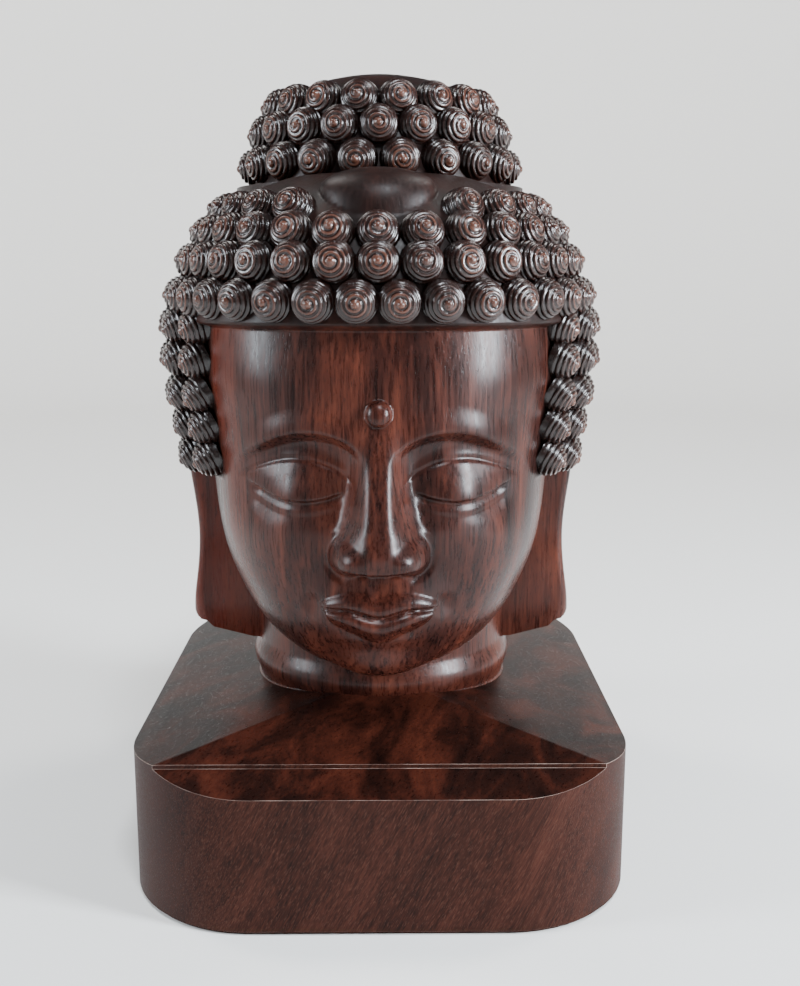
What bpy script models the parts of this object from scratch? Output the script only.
"""Carved hardwood head of the Buddha on its own rounded block, all from one piece of wood.

Metres, +Z up. The origin is at the middle of the block's underside, and the face looks toward -Y.
The head is one skin around a vertical axis. Every point of the skin has an angle (0 at the front,
positive toward +X) and a run (distance along the front profile, from the neck's foot to the crown).
Relief stands on that skin along its normal: the face, the layer of hair and the snail curls.
"""

import math

import bmesh
import bpy
import numpy as np
from mathutils import Vector
from mathutils.geometry import delaunay_2d_cdt

MM = 0.001

# Block
BLOCK_WIDTH = 96.0 * MM
BLOCK_DEPTH = 112.0 * MM
BLOCK_CORNER_RADIUS = 24.5 * MM
BLOCK_CORNER_STEPS = 10
BLOCK_FRONT_WALL = 26.4 * MM
BLOCK_SIDE_WALL = 28.2 * MM
BLOCK_FOOT_BEVEL = 0.8 * MM
SIDE_BEVEL_WIDTH = 4.3 * MM
SIDE_BEVEL_RISE = 1.0 * MM
FRONT_CHAMFER_DEPTH = 8.0 * MM
FRONT_CHAMFER_RISE = 2.4 * MM
FRONT_STEP_RISE = 0.8 * MM
HIP_SLOPE_FRONT = 0.25
HIP_SLOPE_SIDE = 0.17
HIP_SLOPE_BACK = 0.14

# Neck
NECK_RADIUS = 26.6 * MM
NECK_ROOT = BLOCK_SIDE_WALL - 2.2 * MM
COLLAR_ABOVE_BLOCK = 8.8 * MM
COLLAR_SWELL = 1.2 * MM
COLLAR_HALF_HEIGHT = 4.4 * MM
NECK_BLEND = 1.2 * MM

# Head: the face is three equal parts of four units each, from the chin up to the hairline
CHIN_ABOVE_BLOCK = 15.6 * MM
CHIN = BLOCK_SIDE_WALL + CHIN_ABOVE_BLOCK
FACE_UNIT = 5.4 * MM
NOSE_BASE = CHIN + 4 * FACE_UNIT
BROW_LINE = CHIN + 8 * FACE_UNIT
HAIRLINE = CHIN + 12 * FACE_UNIT
EYE_LINE = BROW_LINE - 1.25 * FACE_UNIT
MOUTH_LINE = NOSE_BASE - 1.35 * FACE_UNIT
HEAD_HEIGHT = 16.78 * FACE_UNIT
SECTION_POWER = 2.25

# Head sections as shares of the head's height above the chin: height, side, front and back reach
HEAD_SECTIONS = (
    (-0.018, 0.090, 0.150, 0.080),
    (0.000, 0.165, 0.385, 0.130),
    (0.030, 0.235, 0.470, 0.200),
    (0.075, 0.286, 0.497, 0.275),
    (0.140, 0.327, 0.508, 0.335),
    (0.220, 0.356, 0.514, 0.400),
    (0.310, 0.373, 0.520, 0.455),
    (0.420, 0.388, 0.526, 0.505),
    (0.530, 0.405, 0.528, 0.528),
    (0.620, 0.423, 0.524, 0.536),
    (0.710, 0.423, 0.510, 0.532),
    (0.790, 0.402, 0.494, 0.510),
    (0.855, 0.371, 0.468, 0.476),
    (0.910, 0.328, 0.428, 0.430),
    (0.955, 0.281, 0.376, 0.376),
    (0.983, 0.242, 0.322, 0.322),
    (1.000, 0.202, 0.255, 0.255),
)

# Hair
HAIR_LAYER = 2.6 * MM
HAIR_EDGE = 0.5 * MM
TEMPLE_ANGLE = math.radians(46.5)
TEMPLE_LAYER = 0.3 * MM
TEMPLE_SLOPE = 11.0 * MM
TEMPLE_GROOVE = 0.9 * MM
TEMPLE_GROOVE_WIDTH = 1.8 * MM
SIDEBURN_FOOT = EYE_LINE - 0.15 * FACE_UNIT
EAR_BACK_ANGLE = math.radians(106)
NAPE_LINE = NOSE_BASE - 1.37 * FACE_UNIT
HAIRLINE_ROUNDING = 1.5 * MM
ARC_RADIUS = 42.0 * MM
CURL_RADIUS = 3.6 * MM
CURL_HEIGHT = 3.9 * MM
CURL_PITCH = 6.9 * MM
CURL_LEAN = 1.2 * MM
CURL_SIDES = 5
CURL_TOP_SHARE = 0.42
CURL_VALLEY_SHARE = 1.16
CURL_VALLEY_SIDES = 12
CURL_VALLEY_SPACING = 2.2 * MM
CURL_VALLEY_CLEARANCE = 0.7 * MM
BROW_ROW_ABOVE_HAIRLINE = 4.0 * MM
CROWN_ROW_STEPS = (6.3 * MM, 5.2 * MM, 4.95 * MM)
SIDE_ROW_DROP = 4.6 * MM
SIDE_ROW_PITCH = 6.2 * MM
CURL_CLEARANCE = 3.0 * MM
TEMPLE_CLEARANCE = 3.6 * MM

# Jewel mound on the crown, in front of the topknot
MOUND_HALF_WIDTH = 9.8 * MM
MOUND_HALF_RUN = 4.8 * MM
MOUND_HEIGHT = 3.2 * MM
MOUND_HEAD_SHARE = 0.955

# Topknot (ushnisha): height above its foot and radius, as shares of its own height
TOPKNOT_HEIGHT = 5 * FACE_UNIT
TOPKNOT_FOOT = CHIN + HEAD_HEIGHT - 4.4 * MM
TOPKNOT_SET_BACK = 1.0 * MM
TOPKNOT_SECTIONS = (
    (0.00, 0.985),
    (0.16, 0.965),
    (0.36, 0.920),
    (0.56, 0.850),
    (0.74, 0.745),
    (0.835, 0.665),
    (0.915, 0.500),
    (0.975, 0.250),
    (0.995, 0.080),
)
TOPKNOT_ROWS = ((0.32, 20, 0.5), (0.55, 20, 0.0), (0.73, 18, 0.5))
TOPKNOT_CURL_SCALE = 0.98
TOPKNOT_CURL_LEAN = 1.5 * MM

# Ears, seen from the side: height, front edge and back edge as shares of the ear's length
EAR_TOP = BROW_LINE + 1.1 * FACE_UNIT
LOBE_FOOT = CHIN - 0.3 * MM
EAR_LENGTH = EAR_TOP - LOBE_FOOT
EAR_CENTRE_Y = 2.5 * MM
EAR_OUTER = 0.448 * HEAD_HEIGHT
EAR_ROOT = 0.75 * NECK_RADIUS
EAR_DISH = 1.6 * MM
EAR_CLEAR_FRONT = 0.21
EAR_CLEAR_BACK = 0.25
EAR_OUTLINE = (
    (0.00, -0.155, 0.105),
    (0.10, -0.165, 0.125),
    (0.26, -0.160, 0.130),
    (0.42, -0.150, 0.140),
    (0.56, -0.150, 0.175),
    (0.70, -0.155, 0.220),
    (0.82, -0.145, 0.240),
    (0.91, -0.110, 0.225),
    (0.97, -0.050, 0.170),
    (1.00, 0.020, 0.090),
)
EAR_RINGS = ((0.0, -2.4), (0.6, -0.8), (1.8, 0.0), (3.2, -0.5), (4.2, -2.4))
LOBE_UNDERSIDE_DROP = 3.6 * MM
LOBE_UNDERSIDE_RUN = 6.0 * MM

# Spacing of the skin's points
FACE_GRID = 3.4 * MM
PLAIN_GRID = 9.5 * MM
TOPKNOT_GRID = 5.0 * MM
HAIRLINE_SPACING = 3.4 * MM
POINT_CLEARANCE = 0.62
SPOT_CLEARANCE = 0.9 * MM


def monotone_curve(stations, values):
    """Return a smooth function through the stations that never overshoots between them."""
    x = np.asarray(stations, float)
    y = np.asarray(values, float)
    step = np.diff(x)
    slope = np.diff(y) / step
    tangent = np.zeros_like(y)
    tangent[0] = slope[0]
    tangent[-1] = slope[-1]
    same_way = slope[:-1] * slope[1:] > 0
    harmonic = 2 * slope[:-1] * slope[1:] / np.where(same_way, slope[:-1] + slope[1:], 1.0)
    tangent[1:-1] = np.where(same_way, harmonic, 0.0)

    def curve(at):
        at = np.clip(at, x[0], x[-1])
        i = np.clip(np.searchsorted(x, at) - 1, 0, len(step) - 1)
        h = step[i]
        t = (at - x[i]) / h
        keep = 2 * t**3 - 3 * t**2 + 1
        lean = (t**3 - 2 * t**2 + t) * h
        reach = -2 * t**3 + 3 * t**2
        pull = (t**3 - t**2) * h
        return keep * y[i] + lean * tangent[i] + reach * y[i + 1] + pull * tangent[i + 1]

    return curve


def smooth_step(low, high, value):
    t = np.clip((value - low) / (high - low), 0, 1)
    return t * t * (3 - 2 * t)


def smooth_max(a, b, width):
    return 0.5 * (a + b + np.sqrt((a - b) ** 2 + width**2))


def bump(distance):
    """A round hill, 1 at distance 0 and 0 from distance 1 outward."""
    return np.clip(1 - distance**2, 0, 1) ** 2


SECTION_Z = np.array([CHIN + HEAD_HEIGHT * row[0] for row in HEAD_SECTIONS])
SIDE_REACH = monotone_curve(SECTION_Z, [HEAD_HEIGHT * row[1] for row in HEAD_SECTIONS])
FRONT_REACH = monotone_curve(SECTION_Z, [HEAD_HEIGHT * row[2] for row in HEAD_SECTIONS])
BACK_REACH = monotone_curve(SECTION_Z, [HEAD_HEIGHT * row[3] for row in HEAD_SECTIONS])


def head_radius(angle, z):
    """Distance of the bare skin from the vertical axis: skull and jaw blended into the neck."""
    side = SIDE_REACH(z)
    reach = np.where(np.cos(angle) > 0, FRONT_REACH(z), BACK_REACH(z))
    across = np.abs(np.sin(angle) / side) ** SECTION_POWER
    along = np.abs(np.cos(angle) / reach) ** SECTION_POWER
    skull = (across + along) ** (-1 / SECTION_POWER)
    skull = skull * smooth_step(SECTION_Z[0] - 2 * MM, SECTION_Z[0] + 1.5 * MM, z)
    collar = COLLAR_SWELL * bump((z - BLOCK_SIDE_WALL - COLLAR_ABOVE_BLOCK) / COLLAR_HALF_HEIGHT)
    return smooth_max(skull, NECK_RADIUS + collar, NECK_BLEND)


def front_profile():
    """Heights and running distances along the front profile, from the neck's root to the crown."""
    z = np.linspace(NECK_ROOT, SECTION_Z[-1], 1200)
    radius = head_radius(np.zeros_like(z), z)
    run = np.concatenate([[0], np.cumsum(np.hypot(np.diff(z), np.diff(radius)))])
    return z, run


PROFILE_Z, PROFILE_RUN = front_profile()


def height_at(run):
    return np.interp(run, PROFILE_RUN, PROFILE_Z)


def run_at(z):
    return np.interp(z, PROFILE_Z, PROFILE_RUN)


def skin(angle, run):
    """Point of the bare skin."""
    z = height_at(run)
    radius = head_radius(angle, z)
    return np.stack([radius * np.sin(angle), -radius * np.cos(angle), z], axis=-1)


def skin_normal(angle, run):
    turn = 1e-3
    climb = 2e-4
    low = np.maximum(run - climb, PROFILE_RUN[0])
    high = np.minimum(run + climb, PROFILE_RUN[-1])
    around = skin(angle + turn, run) - skin(angle - turn, run)
    upward = skin(angle, high) - skin(angle, low)
    normal = np.cross(around, upward)
    return normal / np.linalg.norm(normal, axis=-1, keepdims=True)


def hair_depth(angle, z):
    """Distance inside the hairline, negative on bare skin."""
    arc = np.abs(angle) * ARC_RADIUS
    forehead = smooth_max(arc - TEMPLE_ANGLE * ARC_RADIUS, z - HAIRLINE, HAIRLINE_ROUNDING)
    ear = smooth_max(arc - EAR_BACK_ANGLE * ARC_RADIUS, z - SIDEBURN_FOOT, HAIRLINE_ROUNDING)
    return np.minimum(np.minimum(forehead, ear), z - NAPE_LINE)


def hair_layer(angle, z):
    """Thickness of the hair under the curls: full over the brow, thin beside the face."""
    past_temple = (np.abs(angle) - TEMPLE_ANGLE) * ARC_RADIUS
    over_brow = smooth_step(-HAIR_EDGE, 0, z - HAIRLINE)
    beside = smooth_step(0, TEMPLE_SLOPE, past_temple)
    groove = TEMPLE_GROOVE * bump((past_temple - 0.5 * TEMPLE_GROOVE_WIDTH) / TEMPLE_GROOVE_WIDTH)
    thin = TEMPLE_LAYER + (HAIR_LAYER - TEMPLE_LAYER) * beside - groove
    return np.maximum(thin, HAIR_LAYER * over_brow)


def brow_height(x):
    """The brow's arch: a bow on each side that springs from the root of the nose."""
    share = np.clip(np.abs(x) / (6.0 * FACE_UNIT), 0, 1)
    return BROW_LINE + FACE_UNIT * (1.25 * np.sin(np.pi * share**0.8) - 0.75 * share**2 - 0.45)


def lid_slit_height(x):
    """The lowered lid's edge, a shallow bow that hangs between the eye's corners."""
    along = (np.abs(x) - 2.8 * FACE_UNIT) / (1.55 * FACE_UNIT)
    return EYE_LINE - FACE_UNIT * (0.42 - 0.34 * along**2 - 0.05 * along)


def mouth_height(x):
    """The line between the lips, a flat bow with its ends turned up."""
    share = np.abs(x) / (1.9 * FACE_UNIT)
    return MOUTH_LINE + FACE_UNIT * (0.20 * share**2 - 0.08 * np.cos(2 * np.pi * np.minimum(share, 1)))


def face_relief(x, z):
    """Height of the face's forms over the plain egg of the head."""
    side = np.abs(x)
    unit = FACE_UNIT
    below_brow = brow_height(x) - z
    eye_fade = smooth_step(0.2, 1.4, side / unit) * smooth_step(6.6, 4.6, side / unit)
    socket = smooth_step(-0.05, 0.55, below_brow / unit) * smooth_step(3.5, 1.4, below_brow / unit)
    relief = -2.3 * MM * socket * eye_fade
    relief += 0.5 * MM * bump(below_brow / (0.9 * unit)) * eye_fade

    eye_x = (side - 2.8 * unit) / (2.0 * unit)
    lid = bump(np.hypot(eye_x, (z - EYE_LINE - 0.1 * unit) / (1.25 * unit)))
    relief += 2.3 * MM * lid
    below_slit = (lid_slit_height(x) - z) / unit
    slit_fade = smooth_step(1.0, 0.75, np.abs(side - 2.8 * unit) / (1.6 * unit))
    slit = smooth_step(-0.05, 0.06, below_slit) * smooth_step(1.1, 0.1, below_slit)
    relief += -0.8 * MM * slit_fade * slit

    tip = NOSE_BASE + 0.75 * unit
    rise = smooth_step(NOSE_BASE - 0.12 * unit, NOSE_BASE + 0.35 * unit, z)
    fall = 1 - smooth_step(tip, BROW_LINE + 0.3 * unit, z)
    bridge = (1.9 + 4.7 * fall) * MM * rise * smooth_step(BROW_LINE + 1.6 * unit, BROW_LINE - 0.4 * unit, z)
    width = unit * (0.60 + 0.28 * smooth_step(BROW_LINE, tip, z) + 0.20 * bump((z - tip) / (1.1 * unit)))
    relief += bridge * smooth_step(1.85, 0.25, side / width)
    wing = bump(np.hypot((side - 1.02 * unit) / (0.66 * unit), (z - NOSE_BASE - 0.52 * unit) / (0.72 * unit)))
    relief += 2.5 * MM * wing

    muzzle = bump(np.hypot(x / (3.1 * unit), (z - MOUTH_LINE) / (2.0 * unit)))
    relief += 2.1 * MM * muzzle
    lip_share = side / (1.95 * unit)
    over = (z - mouth_height(x)) / unit
    upper_edge = 0.62 * (1 - lip_share**1.6) + 0.10 * bump((side - 0.42 * unit) / (0.5 * unit))
    lower_edge = 0.80 * (1 - lip_share**2.8)
    above = over / np.maximum(upper_edge, 0.02)
    beneath = -over / np.maximum(lower_edge, 0.02)
    upper = smooth_step(0.0, 0.45, above) * smooth_step(1.2, 0.75, above)
    lower = smooth_step(0.0, 0.55, beneath) * smooth_step(1.45, 0.6, beneath)
    lip_fade = smooth_step(1.05, 0.6, lip_share)
    relief += lip_fade * (1.1 * MM * upper + 1.6 * MM * lower)
    corner_x = (side - 2.15 * unit) / (0.55 * unit)
    relief += -0.55 * MM * bump(np.hypot(corner_x, (z - MOUTH_LINE - 0.15 * unit) / (0.55 * unit)))
    relief += -0.6 * MM * bump(np.hypot(x / (0.45 * unit), (z - MOUTH_LINE - 1.05 * unit) / (0.7 * unit)))
    relief += -1.1 * MM * bump(np.hypot(x / (1.9 * unit), (z - MOUTH_LINE + 1.45 * unit) / (0.75 * unit)))
    relief += 1.7 * MM * bump(np.hypot(x / (1.9 * unit), (z - CHIN - 0.75 * unit) / (1.35 * unit)))

    cheek_x = (side - 4.0 * unit) / (2.9 * unit)
    relief += 1.2 * MM * bump(np.hypot(cheek_x, (z - NOSE_BASE - 0.9 * unit) / (3.0 * unit)))
    urna_z = BROW_LINE + 1.3 * unit
    relief += 1.7 * MM * np.sqrt(np.clip(1 - (x**2 + (z - urna_z) ** 2) / (0.42 * unit) ** 2, 0, 1))
    return relief


def skin_relief(angle, run):
    """Height of everything but the curls over the bare skin."""
    z = height_at(run)
    x = head_radius(angle, z) * np.sin(angle)
    depth = hair_depth(angle, z)
    cover = smooth_step(-HAIR_EDGE, 0, depth)
    front = smooth_step(math.radians(75), math.radians(60), np.abs(angle))
    low = smooth_step(CHIN - 1 * MM, CHIN + 1.5 * MM, z)
    face = face_relief(x, z) * front * low
    mound_run = run_at(CHIN + HEAD_HEIGHT * MOUND_HEAD_SHARE)
    mound = np.hypot(x / MOUND_HALF_WIDTH, (run - mound_run) / MOUND_HALF_RUN)
    soft = np.where(run > mound_run, 0.5, 0.5 + 0.35 * smooth_step(0, -MOUND_HALF_RUN, run - mound_run))
    mound = np.where(np.cos(angle) > 0, np.clip(1 - mound**2, 0, 1) ** soft, 0)
    return (1 - cover) * face + cover * hair_layer(angle, z) + MOUND_HEIGHT * mound


def carved(angle, run, extra=0.0):
    """Point of the carved surface, with any extra height of a curl."""
    height = skin_relief(angle, run) + extra
    return skin(angle, run) + skin_normal(angle, run) * np.asarray(height)[..., None]


def row_radius(run):
    """Mean distance of the hair from the axis, along one row of curls."""
    angles = np.linspace(-math.pi, math.pi, 48, endpoint=False)
    return float(np.mean(np.linalg.norm(carved(angles, np.full(48, run))[:, :2], axis=1)))


def curl_rows():
    """Run, stagger and first angle of each row of curls, the crown's first and then the sides'."""
    run = float(run_at(HAIRLINE + BROW_ROW_ABOVE_HAIRLINE))
    rows = [(run, 0.5, 0.0)]
    for step in CROWN_ROW_STEPS:
        run += step
        if run < PROFILE_RUN[-1] - CURL_RADIUS:
            rows.append((run, 0.0, 0.0))
    z = HAIRLINE + BROW_ROW_ABOVE_HAIRLINE - SIDE_ROW_DROP
    stagger = 0.0
    while z > NAPE_LINE + CURL_CLEARANCE:
        run = float(run_at(z))
        rows.append((run, stagger, TEMPLE_ANGLE + TEMPLE_CLEARANCE / row_radius(run)))
        stagger = 0.5 - stagger
        z -= SIDE_ROW_PITCH
    return rows


def row_angles(run, stagger, first):
    """Angles of one row's curls: a crown row goes all round, a side row from temple to temple.

    The side rows all start at the temple; their counts are even and odd in turn, so that the
    curls stand in line beside the face and between each other at the back.
    """
    span = 2 * math.pi - 2 * first
    fit = span * row_radius(run) / CURL_PITCH
    if first == 0:
        count = int(round(fit))
        turns = [(i + stagger) * span / count for i in range(count)]
    else:
        count = int(2 * round(0.5 * fit - stagger) + 2 * stagger)
        turns = [first + i * span / count for i in range(count + 1)]
    return [(turn + math.pi) % (2 * math.pi) - math.pi for turn in turns]


def on_ear(point):
    """True where a curl's middle would lie under the ear."""
    y = point[1] - EAR_CENTRE_Y
    beside = -EAR_CLEAR_FRONT * EAR_LENGTH < y < EAR_CLEAR_BACK * EAR_LENGTH
    return beside and point[2] < EAR_TOP + 1 * MM


def head_curls():
    """Angle and run of each curl on the head."""
    curls = []
    mound_run = run_at(CHIN + HEAD_HEIGHT * MOUND_HEAD_SHARE)
    for run, stagger, first in curl_rows():
        for angle in row_angles(run, stagger, first):
            point = carved(np.array(angle), np.array(run))
            near_mound = abs(point[0]) < MOUND_HALF_WIDTH and math.cos(angle) > 0
            near_mound = near_mound and abs(run - mound_run) < MOUND_HALF_RUN + 0.5 * CURL_RADIUS
            inside = hair_depth(angle, height_at(run)) > CURL_CLEARANCE
            if inside and not near_mound and not on_ear(point):
                curls.append((angle, run))
    return curls


def top_ring(angle, run, away, height, metric):
    """Points of a curl's flat top, as angle, run and extra height."""
    points = []
    for k in range(CURL_SIDES):
        turn = 2 * math.pi * (k + 0.5) / CURL_SIDES
        points.append((angle + away * math.cos(turn) / metric, run + away * math.sin(turn), height))
    return points


def valley(curl, curls, radius):
    """Points around a curl's foot, each halfway to the neighbour on that side where one is near."""
    angle, run, metric = curl
    near = []
    for other_angle, other_run, _ in curls:
        across = (other_angle - angle + math.pi) % (2 * math.pi) - math.pi
        away = (across * metric, other_run - run)
        if 0 < math.hypot(*away) < 3 * radius:
            near.append(away)
    points = []
    for k in range(CURL_VALLEY_SIDES):
        turn = 2 * math.pi * k / CURL_VALLEY_SIDES
        reach = CURL_VALLEY_SHARE * radius
        for across, climb in near:
            toward = across * math.cos(turn) + climb * math.sin(turn)
            if toward > 0:
                reach = min(reach, (across**2 + climb**2) / (2 * toward))
        points.append((angle + reach * math.cos(turn) / metric, run + reach * math.sin(turn), 0.0))
    return points


def add_curls(points, curls, radius, height, metric):
    """Add each curl's top ring, then the valleys around them; return the rings as closed chains."""
    chains = []
    for angle, run, local in curls:
        first = len(points)
        points.extend(top_ring(angle, run, CURL_TOP_SHARE * radius, height, local))
        ids = list(range(first, first + CURL_SIDES))
        chains.append(ids + ids[:1])
    feet = []
    for curl in curls:
        feet = thinned(valley(curl, curls, radius), feet, CURL_VALLEY_SPACING, metric)
    points[:] = thinned(feet, points, CURL_VALLEY_CLEARANCE, metric)
    return chains


def thinned(points, kept, spacing, metric):
    """Add points to the kept ones, leaving out any that crowd those already there."""
    cell = spacing
    grid = {}
    whole = 2 * math.pi * metric

    def place(point):
        return (point[0] * metric) % whole, point[1]

    def key(at):
        return int(at[0] // cell), int(at[1] // cell)

    def crowded(at):
        column, row = key(at)
        last = int(whole // cell)
        for i in (-1, 0, 1):
            for j in (-1, 0, 1):
                for other in grid.get(((column + i) % (last + 1), row + j), ()):
                    gap = abs(other[0] - at[0])
                    gap = min(gap, whole - gap)
                    if math.hypot(gap, other[1] - at[1]) < spacing:
                        return True
        return False

    for point in kept:
        at = place(point)
        grid.setdefault(key(at), []).append(at)
    result = list(kept)
    for point in points:
        at = place(point)
        if not crowded(at):
            grid.setdefault(key(at), []).append(at)
            result.append(point)
    return result


def lattice(low_run, high_run, spacing, metric, inside):
    """A staggered net of points over the band between two runs, where inside() says so."""
    points = []
    rows = max(1, int(round((high_run - low_run) / spacing)))
    count = int(round(2 * math.pi * metric / spacing))
    for j in range(rows + 1):
        run = low_run + (high_run - low_run) * j / rows
        for i in range(count):
            angle = (i + 0.5 * (j % 2)) * 2 * math.pi / count - math.pi
            if inside(angle, run):
                points.append((angle, run, 0.0))
    return points


def face_lines():
    """The face's sharp lines as runs of points: brows, lid edges and lips."""
    lines = []
    unit = FACE_UNIT
    for side in (-1, 1):
        brow = np.linspace(0.5, 5.2, 13) * unit
        lines.append([(side * x, brow_height(x) + 0.02 * unit) for x in brow])
        lines.append([(side * x, brow_height(x) - 0.42 * unit) for x in brow])
        lid = np.linspace(1.35, 4.3, 9) * unit
        lines.append([(side * x, lid_slit_height(x) + 0.08 * unit) for x in lid])
        lines.append([(side * x, lid_slit_height(x) - 0.14 * unit) for x in lid])
    mouth = np.linspace(-1.85, 1.85, 9) * unit
    lines.append([(x, mouth_height(x)) for x in mouth])
    lines.append([(x, mouth_height(x) + 0.32 * unit) for x in mouth])
    lines.append([(x, mouth_height(x) - 0.42 * unit) for x in mouth])
    return lines


def face_spots():
    """Single points that hold the nose and the urna."""
    unit = FACE_UNIT
    spots = [(0.0, BROW_LINE + 1.3 * unit)]
    for turn in np.linspace(0, 2 * math.pi, 6, endpoint=False):
        spots.append((0.4 * unit * math.cos(turn), BROW_LINE + (1.3 + 0.4 * math.sin(turn)) * unit))
    for side in (-1, 1):
        for z in np.linspace(NOSE_BASE + 0.8 * unit, BROW_LINE - 0.6 * unit, 6):
            spots.append((side * 0.3 * unit, z))
            spots.append((side * 1.1 * unit, z))
        for x in (0.4, 1.0, 1.7):
            spots.append((side * x * unit, NOSE_BASE + 0.34 * unit))
            spots.append((side * x * unit, NOSE_BASE - 0.16 * unit))
    return spots


def mound_points():
    """Rings of points over the jewel mound, out to its foot."""
    middle = float(run_at(CHIN + HEAD_HEIGHT * MOUND_HEAD_SHARE))
    radius = float(head_radius(0.0, height_at(middle)))
    points = [(0.0, middle, 0.0)]
    for share, count in ((0.55, 7), (0.88, 12), (1.04, 14)):
        for k in range(count):
            turn = 2 * math.pi * k / count
            across = share * MOUND_HALF_WIDTH * math.cos(turn)
            points.append((across / radius, middle + share * MOUND_HALF_RUN * math.sin(turn), 0.0))
    return points


def angle_at(x, z):
    """Angle at which the skin's front stands at x, found by halving."""
    low, high = 0.0, math.radians(88)
    for _ in range(28):
        middle = 0.5 * (low + high)
        if head_radius(middle, z) * math.sin(middle) < abs(x):
            low = middle
        else:
            high = middle
    return math.copysign(low, x)


def hairline_lines():
    """Pairs of lines along the hairline, one at the foot and one at the top of its step."""
    lines = []
    inset = 1.0 * MM / ARC_RADIUS

    def pair(spots, turn, climb):
        for away in (-HAIR_EDGE, 0.0):
            lines.append([(angle + turn * away / ARC_RADIUS, float(run_at(z + climb * away)), 0.0)
                          for angle, z in spots])

    def across(first, last, z):
        count = max(2, int(round(abs(last - first) * ARC_RADIUS / HAIRLINE_SPACING)))
        pair([(first + (last - first) * k / count, z) for k in range(count + 1)], 0, 1)

    def down(angle, top, foot):
        count = max(2, int(round((top - foot) / HAIRLINE_SPACING)))
        pair([(angle, top + (foot - top) * k / count) for k in range(count + 1)], math.copysign(1, angle), 0)

    across(-TEMPLE_ANGLE + inset, TEMPLE_ANGLE - inset, HAIRLINE)
    for side in (-1, 1):
        down(side * TEMPLE_ANGLE, HAIRLINE - 1 * MM, SIDEBURN_FOOT + 1 * MM)
        across(side * (TEMPLE_ANGLE + inset), side * (EAR_BACK_ANGLE - inset), SIDEBURN_FOOT)
        down(side * EAR_BACK_ANGLE, SIDEBURN_FOOT - 1 * MM, NAPE_LINE + 1 * MM)
    behind = 2 * math.pi - EAR_BACK_ANGLE - inset
    across(EAR_BACK_ANGLE + inset, behind, NAPE_LINE)
    return lines


def end_rings(low_run, high_run, metric):
    """The skin's foot ring and top ring."""
    count = int(round(2 * math.pi * metric / PLAIN_GRID))
    turns = [i * 2 * math.pi / count - math.pi for i in range(count)]
    return [(turn, run, 0.0) for run in (low_run, high_run) for turn in turns]


def head_points():
    """All points of the head's skin, and the lines that its triangles have to follow."""
    metric = ARC_RADIUS
    points = end_rings(PROFILE_RUN[0], PROFILE_RUN[-1], metric)
    lines = hairline_lines()
    lines += [[(angle_at(x, z), float(run_at(z)), 0.0) for x, z in line] for line in face_lines()]
    chains = []
    for line in lines:
        chains.append(list(range(len(points), len(points) + len(line))))
        points += line
    spots = [(angle_at(x, z), float(run_at(z)), 0.0) for x, z in face_spots()]
    points = thinned(spots + mound_points(), points, SPOT_CLEARANCE, metric)
    curls = [(angle, run - CURL_LEAN, row_radius(run)) for angle, run in head_curls()]
    chains += add_curls(points, curls, CURL_RADIUS, CURL_HEIGHT, metric)

    def on_face(angle, run):
        z = height_at(run)
        return abs(angle) < TEMPLE_ANGLE and CHIN - 1 * MM < z < HAIRLINE

    grid = lattice(run_at(CHIN - 1 * MM), run_at(HAIRLINE), FACE_GRID, metric, on_face)
    points = thinned(grid, points, POINT_CLEARANCE * FACE_GRID, metric)
    plain = lattice(PROFILE_RUN[0] + 0.4 * PLAIN_GRID, PROFILE_RUN[-1] - 0.4 * PLAIN_GRID,
                    PLAIN_GRID, metric, lambda angle, run: True)
    return thinned(plain, points, POINT_CLEARANCE * PLAIN_GRID, metric), chains


def wrapped_faces(points, chains, metric):
    """Triangles between points that lie around an axis, closed across the back."""
    whole = 2 * math.pi
    margin = 0.6
    spots = []
    source = []
    copies = {}
    for index, (angle, run, _) in enumerate(points):
        home = (angle + math.pi) % whole - math.pi
        nudge = 2e-6 * math.sin(12.9898 * index)
        for shift in (-whole, 0.0, whole):
            turned = home + shift
            if -math.pi - margin < turned < math.pi + margin:
                copies.setdefault(index, []).append((turned, len(spots)))
                spots.append(Vector((turned * metric + nudge, run)))
                source.append(index)
    edges = []
    for chain in chains:
        for a, b in zip(chain, chain[1:]):
            for turn_a, spot_a in copies[a]:
                for turn_b, spot_b in copies[b]:
                    if abs(turn_a - turn_b) < math.pi:
                        edges.append((spot_a, spot_b))
    made = delaunay_2d_cdt(spots, edges, [], 0, 1e-9, True)
    places = made[0]
    triangles = made[2]
    origins = made[3]
    kept = []
    for corners in triangles:
        middle = sum(places[c][0] for c in corners) / len(corners) / metric
        if -math.pi <= middle < math.pi:
            kept.append(tuple(source[origins[c][0]] for c in corners))
    return kept


def closed_skin(name, points, chains, place, metric, foot_centre, top_centre):
    """A closed mesh through the points, with its foot and top rings filled to a middle point."""
    angles = np.array([p[0] for p in points])
    runs = np.array([p[1] for p in points])
    extra = np.array([p[2] for p in points])
    mesh = bmesh.new()
    verts = [mesh.verts.new(p) for p in place(angles, runs, extra)]
    for corners in wrapped_faces(points, chains, metric):
        mesh.faces.new([verts[c] for c in corners])
    for centre, level in ((foot_centre, runs.min()), (top_centre, runs.max())):
        ring = [verts[i] for i in np.nonzero(np.abs(runs - level) < 1e-9)[0]]
        ring.sort(key=lambda v: math.atan2(v.co.x, -v.co.y))
        middle = mesh.verts.new(centre)
        for a, b in zip(ring, ring[1:] + ring[:1]):
            mesh.faces.new((middle, a, b))
    bmesh.ops.recalc_face_normals(mesh, faces=mesh.faces)
    return finished_object(name, mesh)


def finished_object(name, mesh):
    data = bpy.data.meshes.new(name)
    mesh.to_mesh(data)
    mesh.free()
    made = bpy.data.objects.new(name, data)
    bpy.context.scene.collection.objects.link(made)
    return made


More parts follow.
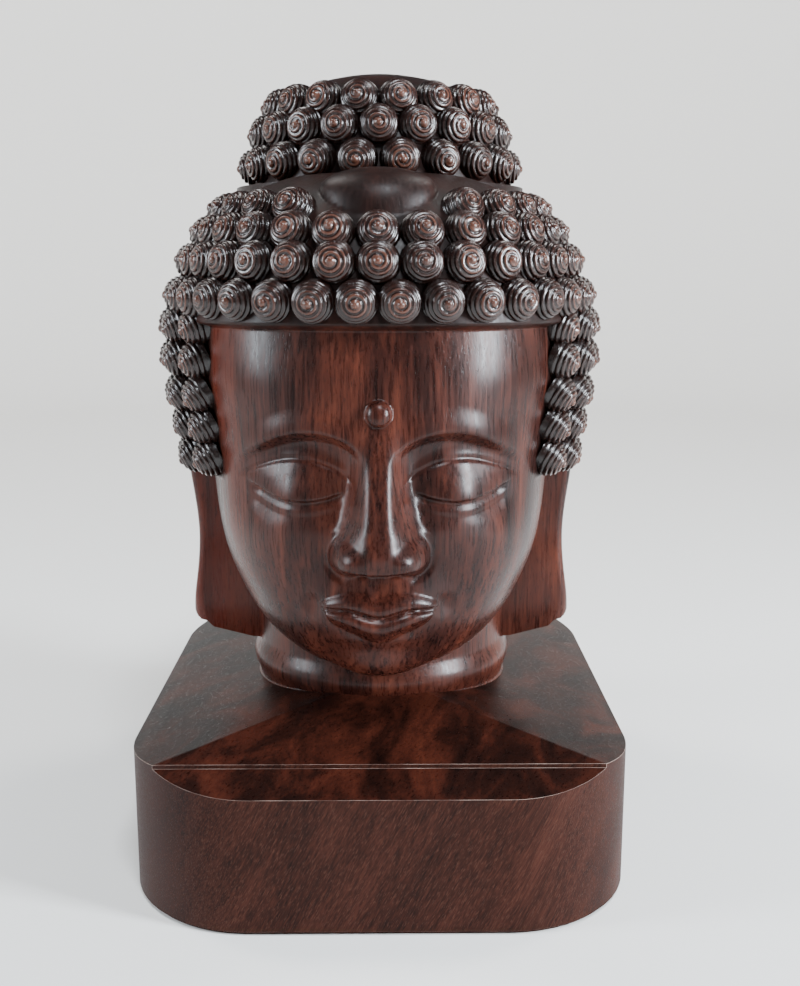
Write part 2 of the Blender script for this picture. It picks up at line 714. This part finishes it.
def make_head():
    points, chains = head_points()
    foot = (0, 0, NECK_ROOT)
    top = (0, 0, SECTION_Z[-1])
    return closed_skin("head", points, chains, carved, ARC_RADIUS, foot, top)


TOPKNOT_Z = [TOPKNOT_FOOT + TOPKNOT_HEIGHT * row[0] for row in TOPKNOT_SECTIONS]
TOPKNOT_R = [TOPKNOT_HEIGHT * row[1] for row in TOPKNOT_SECTIONS]


def topknot_profile():
    z = np.linspace(TOPKNOT_Z[0], TOPKNOT_Z[-1], 600)
    radius = monotone_curve(TOPKNOT_Z, TOPKNOT_R)(z)
    run = np.concatenate([[0], np.cumsum(np.hypot(np.diff(z), np.diff(radius)))])
    return z, radius, run


KNOT_Z, KNOT_R, KNOT_RUN = topknot_profile()


def topknot_surface(angle, run, extra):
    """Point of the topknot, with the extra height along its normal."""
    z = np.interp(run, KNOT_RUN, KNOT_Z)
    radius = np.interp(run, KNOT_RUN, KNOT_R)
    climb = 3e-4
    rise = np.interp(run + climb, KNOT_RUN, KNOT_Z) - np.interp(run - climb, KNOT_RUN, KNOT_Z)
    swell = np.interp(run + climb, KNOT_RUN, KNOT_R) - np.interp(run - climb, KNOT_RUN, KNOT_R)
    length = np.hypot(rise, swell)
    radius = radius + extra * rise / length
    z = z - extra * swell / length
    return np.stack([radius * np.sin(angle), TOPKNOT_SET_BACK - radius * np.cos(angle), z], axis=-1)


def make_topknot():
    metric = TOPKNOT_R[0]
    points = end_rings(KNOT_RUN[0], KNOT_RUN[-1], metric)
    curls = []
    for share, around, stagger in TOPKNOT_ROWS:
        run = float(np.interp(TOPKNOT_FOOT + share * TOPKNOT_HEIGHT, KNOT_Z, KNOT_RUN))
        radius = float(np.interp(run, KNOT_RUN, KNOT_R))
        for i in range(around):
            curls.append(((i + stagger) * 2 * math.pi / around, run - TOPKNOT_CURL_LEAN, radius))
    size = TOPKNOT_CURL_SCALE
    chains = add_curls(points, curls, size * CURL_RADIUS, size * CURL_HEIGHT, metric)
    plain = lattice(KNOT_RUN[0] + 0.4 * TOPKNOT_GRID, KNOT_RUN[-1] - 0.4 * TOPKNOT_GRID,
                    TOPKNOT_GRID, metric, lambda angle, run: True)
    points = thinned(plain, points, 0.8 * TOPKNOT_GRID, metric)
    foot = (0, TOPKNOT_SET_BACK, TOPKNOT_FOOT)
    top = (0, TOPKNOT_SET_BACK, TOPKNOT_FOOT + TOPKNOT_HEIGHT)
    return closed_skin("topknot", points, chains, topknot_surface, metric, foot, top)


def ear_outline():
    """The ear's edge seen from the side: up the front edge, round the top and down the back."""
    heights = [LOBE_FOOT + EAR_LENGTH * row[0] for row in EAR_OUTLINE]
    front = [(EAR_CENTRE_Y + EAR_LENGTH * row[1], z) for row, z in zip(EAR_OUTLINE, heights)]
    back = [(EAR_CENTRE_Y + EAR_LENGTH * row[2], z) for row, z in zip(EAR_OUTLINE, heights)]
    return front + back[::-1]


def ear_dish(z):
    """How far the ear's outer side is drawn in at the lobe's slim middle."""
    share = (z - LOBE_FOOT) / EAR_LENGTH
    return EAR_DISH * bump((share - 0.38) / 0.36)


def make_ear(name, side):
    """An ear with a rolled rim, an open shell above and a long lobe, set into the head."""
    outline = np.array(ear_outline())
    count = len(outline)
    mesh = bmesh.new()
    rings = []
    for inset, lift in ((0.0, (EAR_ROOT - EAR_OUTER) / MM),) + EAR_RINGS:
        ring = []
        for i in range(count):
            before = outline[i - 1]
            after = outline[(i + 1) % count]
            along = (after - before) / np.linalg.norm(after - before)
            y, z = outline[i] + np.array([along[1], -along[0]]) * inset * MM
            x = EAR_OUTER + lift * MM - ear_dish(z)
            sunk = (EAR_OUTER - x) / (EAR_OUTER - NECK_RADIUS)
            z -= LOBE_UNDERSIDE_DROP * min(sunk, 1) * smooth_step(LOBE_UNDERSIDE_RUN, 0, z - LOBE_FOOT)
            ring.append(mesh.verts.new((side * x, y, z)))
        rings.append(ring)
    for low, high in zip(rings, rings[1:]):
        for i in range(count):
            j = (i + 1) % count
            mesh.faces.new((low[i], low[j], high[j], high[i]))
    mesh.faces.new(rings[0])
    mesh.faces.new(rings[-1])
    bmesh.ops.triangulate(mesh, faces=mesh.faces)
    bmesh.ops.recalc_face_normals(mesh, faces=mesh.faces)
    return finished_object(name, mesh)


def rounded_outline():
    """Plan of the block: a rectangle with round corners, anticlockwise from the right."""
    half_x = BLOCK_WIDTH / 2 - BLOCK_CORNER_RADIUS
    half_y = BLOCK_DEPTH / 2 - BLOCK_CORNER_RADIUS
    points = []
    for quarter, (sx, sy) in enumerate(((1, 1), (-1, 1), (-1, -1), (1, -1))):
        for k in range(BLOCK_CORNER_STEPS + 1):
            turn = (quarter + k / BLOCK_CORNER_STEPS) * math.pi / 2
            points.append((sx * half_x + BLOCK_CORNER_RADIUS * math.cos(turn),
                           sy * half_y + BLOCK_CORNER_RADIUS * math.sin(turn)))
    return points


def trim(mesh, point, normal):
    """Cut away what lies on the normal's side of a plane, and close the cut."""
    geometry = mesh.verts[:] + mesh.edges[:] + mesh.faces[:]
    cut = bmesh.ops.bisect_plane(mesh, geom=geometry, plane_co=point, plane_no=normal, clear_outer=True)
    edges = [g for g in cut["geom_cut"] if isinstance(g, bmesh.types.BMEdge)]
    bmesh.ops.edgeloop_fill(mesh, edges=edges)


def make_block():
    """The block with its low hipped top, trimmed plane by plane."""
    half_x = BLOCK_WIDTH / 2
    half_y = BLOCK_DEPTH / 2
    top = BLOCK_SIDE_WALL + SIDE_BEVEL_RISE
    mesh = bmesh.new()
    floor = [mesh.verts.new((x, y, 0)) for x, y in rounded_outline()]
    face = mesh.faces.new(floor)
    raised = bmesh.ops.extrude_face_region(mesh, geom=[face])
    lifted = [g for g in raised["geom"] if isinstance(g, bmesh.types.BMVert)]
    bmesh.ops.translate(mesh, verts=lifted, vec=(0, 0, 2 * top))
    bmesh.ops.recalc_face_normals(mesh, faces=mesh.faces)

    bevel = SIDE_BEVEL_RISE / SIDE_BEVEL_WIDTH
    for side in (-1, 1):
        trim(mesh, (side * half_x, 0, BLOCK_SIDE_WALL), Vector((side * bevel, 0, 1)))
        trim(mesh, (side * (half_x - SIDE_BEVEL_WIDTH), 0, top), Vector((side * HIP_SLOPE_SIDE, 0, 1)))
    trim(mesh, (0, half_y, BLOCK_SIDE_WALL), Vector((0, bevel, 1)))
    trim(mesh, (0, half_y - SIDE_BEVEL_WIDTH, top), Vector((0, HIP_SLOPE_BACK, 1)))
    step_top = BLOCK_FRONT_WALL + FRONT_CHAMFER_RISE + FRONT_STEP_RISE
    trim(mesh, (0, FRONT_CHAMFER_DEPTH - half_y, step_top), Vector((0, -HIP_SLOPE_FRONT, 1)))

    foot = [e for e in mesh.edges if max(v.co.z for v in e.verts) < 1e-7]
    bmesh.ops.bevel(mesh, geom=foot, offset=BLOCK_FOOT_BEVEL, segments=1, affect="EDGES", clamp_overlap=True)
    bmesh.ops.recalc_face_normals(mesh, faces=mesh.faces)
    return finished_object("buddha_head", mesh)


def make_front_cutter():
    """The wedge that takes the chamfer off the block's front edge and leaves the small step."""
    back = FRONT_CHAMFER_DEPTH - BLOCK_DEPTH / 2
    front = -BLOCK_DEPTH / 2 - FRONT_CHAMFER_DEPTH
    slope = FRONT_CHAMFER_RISE / FRONT_CHAMFER_DEPTH
    chamfer_top = BLOCK_FRONT_WALL + FRONT_CHAMFER_RISE
    over = chamfer_top + BLOCK_SIDE_WALL
    foot = chamfer_top + slope * (front - back)
    corners = ((back, chamfer_top), (back, over), (front, over), (front, foot))
    mesh = bmesh.new()
    profile = [mesh.verts.new((-BLOCK_WIDTH, y, z)) for y, z in corners]
    face = mesh.faces.new(profile)
    grown = bmesh.ops.extrude_face_region(mesh, geom=[face])
    moved = [g for g in grown["geom"] if isinstance(g, bmesh.types.BMVert)]
    bmesh.ops.translate(mesh, verts=moved, vec=(2 * BLOCK_WIDTH, 0, 0))
    bmesh.ops.recalc_face_normals(mesh, faces=mesh.faces)
    return finished_object("front_cutter", mesh)


def as_guide(piece):
    piece.hide_render = True
    piece.display_type = "WIRE"


def combine(target, tool, operation):
    modifier = target.modifiers.new(tool.name, "BOOLEAN")
    modifier.operation = operation
    modifier.object = tool
    modifier.solver = "EXACT"
    as_guide(tool)


def wood():
    material = bpy.data.materials.new("dark_rosewood")
    material.use_nodes = True
    shader = material.node_tree.nodes["Principled BSDF"]
    shader.inputs["Base Color"].default_value = (0.045, 0.016, 0.012, 1)
    shader.inputs["Roughness"].default_value = 0.34
    shader.inputs["Metallic"].default_value = 0.0
    return material


def main():
    for leftover in list(bpy.data.objects):
        bpy.data.objects.remove(leftover, do_unlink=True)
    statue = make_block()
    combine(statue, make_front_cutter(), "DIFFERENCE")
    combine(statue, make_head(), "UNION")
    combine(statue, make_topknot(), "UNION")
    combine(statue, make_ear("ear_left", -1), "UNION")
    combine(statue, make_ear("ear_right", 1), "UNION")
    statue.data.materials.append(wood())


main()
